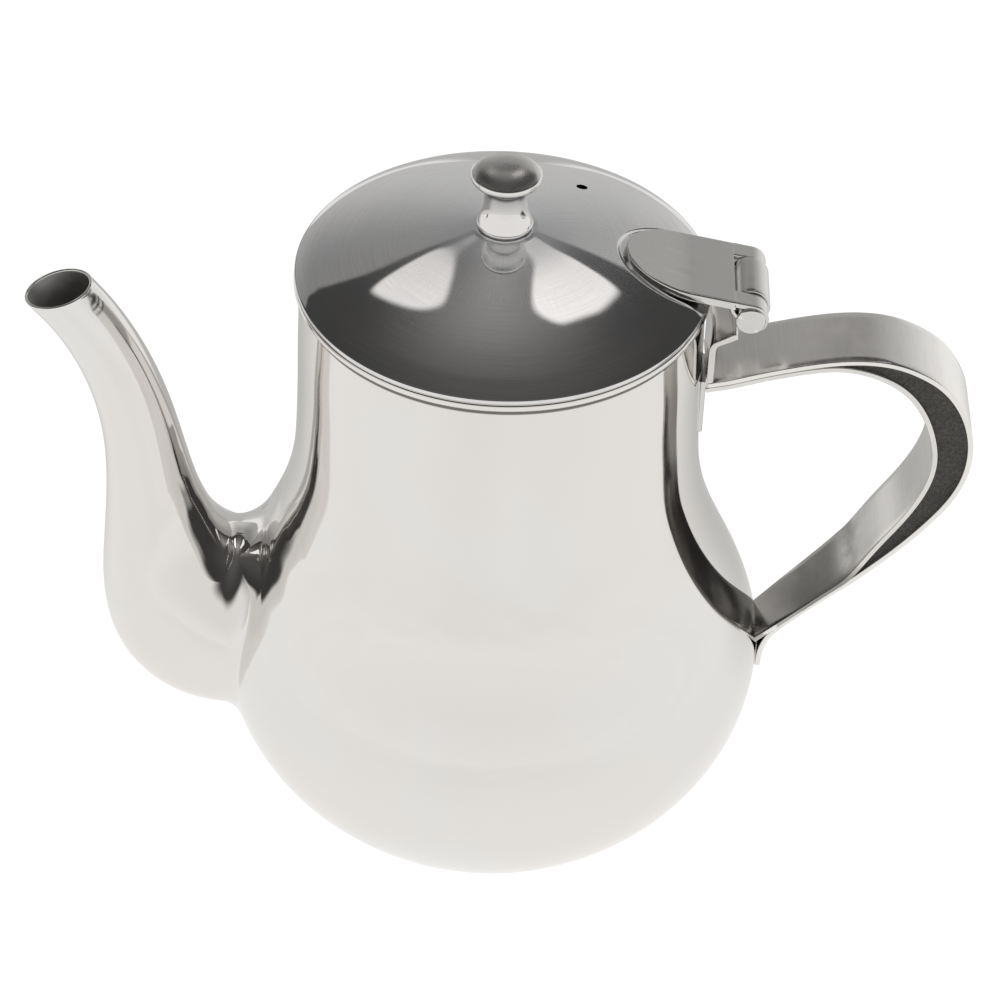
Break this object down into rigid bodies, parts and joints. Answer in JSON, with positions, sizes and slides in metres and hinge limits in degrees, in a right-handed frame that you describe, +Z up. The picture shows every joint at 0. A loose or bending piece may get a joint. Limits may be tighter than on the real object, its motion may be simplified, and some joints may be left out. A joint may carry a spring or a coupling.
{
  "type": "teapot",
  "caption": "Hinged-lid metal teapot with a straight neck, round belly, tapered curved spout, mushroom knob and two-strap loop handle.",
  "frame": {"origin": "centre of the foot ring on the table plane", "axes": "+Z up along the pot's axis, +X towards the handle and hinge, -X towards the spout, Y across the pot"},
  "size_m": [0.2, 0.119, 0.168],
  "materials": {
    "polished_steel": "mirror-polished stainless steel",
    "lid_steel": "buffed stainless steel with fine circular polishing marks",
    "hinge_steel": "satin stainless steel with bright sheared edges",
    "strap_steel": "satin stainless steel strap with bright edges",
    "fastener_steel": "plain stainless fastener",
    "grip_core": "matt dark heat-insulating filler"
  },
  "bodies": {
    "pot": {"body_shell": "polished_steel", "base_disc": "polished_steel", "spout": "polished_steel", "hinge_bracket": "hinge_steel", "neck_backing_plate": "hinge_steel", "handle_outer_strap": "strap_steel", "handle_inner_strap": "strap_steel", "handle_core": "grip_core"},
    "lid": {"lid_shell": "lid_steel", "lid_locating_ring": "lid_steel", "knob": "polished_steel", "knob_washer": "fastener_steel", "knob_screw": "fastener_steel", "lid_hinge_leaf": "hinge_steel", "hinge_pin": "hinge_steel"}
  },
  "joints": [
    {"name": "lid_hinge", "type": "hinge", "parent": "pot", "child": "lid", "pos_m": [0.05095, 0, 0.1383], "axis": [0, 1, 0], "range_deg": [0, 105]}
  ]
}
